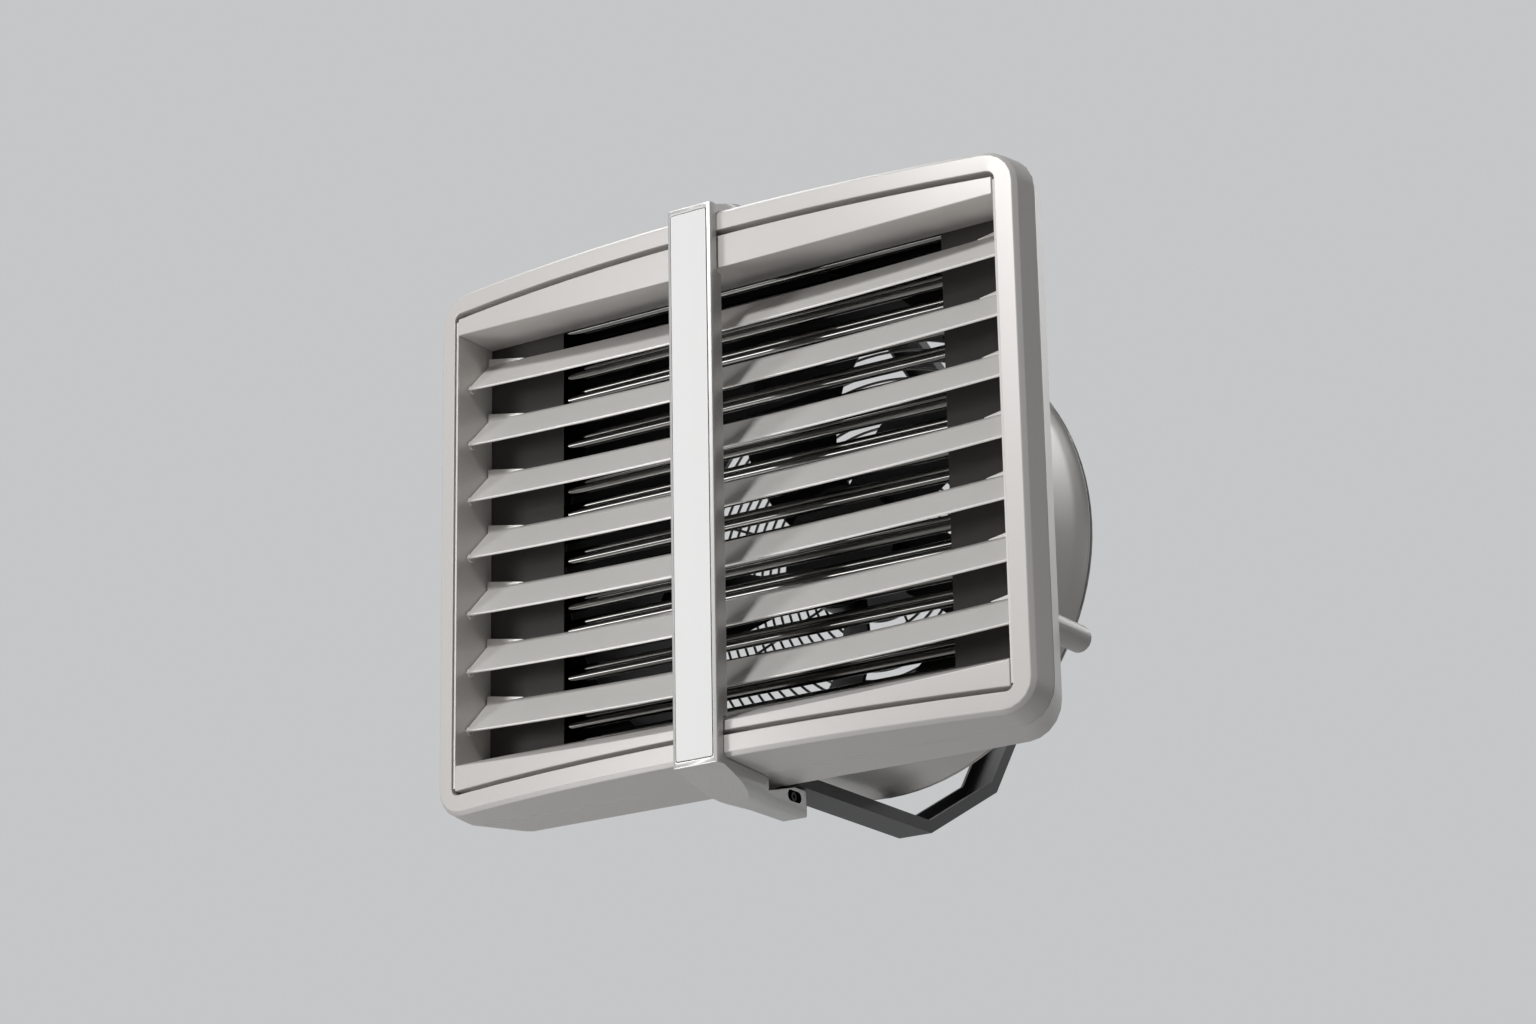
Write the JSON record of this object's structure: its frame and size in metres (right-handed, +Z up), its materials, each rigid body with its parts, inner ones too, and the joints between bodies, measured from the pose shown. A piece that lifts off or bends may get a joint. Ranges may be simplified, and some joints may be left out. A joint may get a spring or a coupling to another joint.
{
  "type": "water coil fan heater on a swivel console",
  "caption": "Shallow box heater with tilting louvers in a bowed frame, a vertical centre band, and a round fan duct behind, swivelling on a C-shaped wall or ceiling console.",
  "frame": {"origin": "centre of the console's wall face", "axes": "+Y into the wall that the console is fixed to, -Y towards the front of the heater, +Z up, +X to the right seen from the front"},
  "size_m": [0.702, 0.6113, 0.616],
  "materials": {
    "casing": "satin warm light grey moulding",
    "band": "satin silver grey",
    "cover": "near-white, satin",
    "duct": "matt dark grey",
    "console": "satin black powder coat",
    "tubes": "bright, polished",
    "headers": "dark grey, satin",
    "pipes": "grey, satin",
    "fan": "matt black",
    "guard": "satin light grey",
    "motor": "black painted",
    "bolts": "blackened steel",
    "zinc": "zinc plated",
    "rubber": "black rubber"
  },
  "bodies": {
    "console_body": {"console": "console"},
    "heater": {"front_frame": "casing", "rear_casing": "casing", "fan_bell": "casing", "duct_wall_left": "casing", "duct_wall_right": "casing", "deflector_top": "casing", "deflector_bottom": "casing", "exchanger_mask": "duct", "tube_bundle": "tubes", "header_left": "headers", "header_right": "headers", "water_inlet": "pipes", "water_outlet": "pipes", "grommet_left": "rubber", "grommet_right": "rubber", "motor_stator": "motor", "fan_guard": "guard", "centre_band": "band", "band_cover": "cover", "terminal_box": "duct", "terminal_box_lid": "duct", "cable_gland": "fan", "swivel_bolt_lower": "bolts", "swivel_bolt_upper": "bolts", "swivel_washer_lower": "zinc", "swivel_washer_upper": "zinc", "swivel_spacer_lower": "zinc", "swivel_spacer_upper": "zinc", "lock_screw_lower": "bolts", "lock_screw_upper": "bolts", "case_screw_1": "zinc", "case_screw_2": "zinc", "case_screw_3": "zinc", "case_screw_4": "zinc"},
    "fan": {"impeller": "fan", "motor_rotor": "motor", "motor_shaft": "zinc"},
    "louver_body_1": {"louver_1": "casing"},
    "louver_body_2": {"louver_2": "casing"},
    "louver_body_3": {"louver_3": "casing"},
    "louver_body_4": {"louver_4": "casing"},
    "louver_body_5": {"louver_5": "casing"},
    "louver_body_6": {"louver_6": "casing"},
    "louver_body_7": {"louver_7": "casing"}
  },
  "joints": [
    {"name": "heater_swivel", "type": "hinge", "parent": "console_body", "child": "heater", "pos_m": [0, -0.45, 0], "axis": [0, 0, 1], "range_deg": [-60, 60]},
    {"name": "fan_spin", "type": "hinge", "parent": "heater", "child": "fan", "pos_m": [0, -0.3, 0], "axis": [0, 1, 0], "continuous": true},
    {"name": "louver_tilt_1", "type": "hinge", "parent": "heater", "child": "louver_body_1", "pos_m": [0, -0.54564, 0.18091], "axis": [1, 0, 0], "range_deg": [-3, 38]},
    {"name": "louver_tilt_2", "type": "hinge", "parent": "heater", "child": "louver_body_2", "pos_m": [0, -0.54564, 0.11961], "axis": [1, 0, 0], "range_deg": [-3, 38]},
    {"name": "louver_tilt_3", "type": "hinge", "parent": "heater", "child": "louver_body_3", "pos_m": [0, -0.54564, 0.05831], "axis": [1, 0, 0], "range_deg": [-3, 38]},
    {"name": "louver_tilt_4", "type": "hinge", "parent": "heater", "child": "louver_body_4", "pos_m": [0, -0.54564, -0.00299], "axis": [1, 0, 0], "range_deg": [-3, 38]},
    {"name": "louver_tilt_5", "type": "hinge", "parent": "heater", "child": "louver_body_5", "pos_m": [0, -0.54564, -0.06429], "axis": [1, 0, 0], "range_deg": [-3, 38]},
    {"name": "louver_tilt_6", "type": "hinge", "parent": "heater", "child": "louver_body_6", "pos_m": [0, -0.54564, -0.12559], "axis": [1, 0, 0], "range_deg": [-3, 38]},
    {"name": "louver_tilt_7", "type": "hinge", "parent": "heater", "child": "louver_body_7", "pos_m": [0, -0.54564, -0.18689], "axis": [1, 0, 0], "range_deg": [-3, 38]}
  ]
}
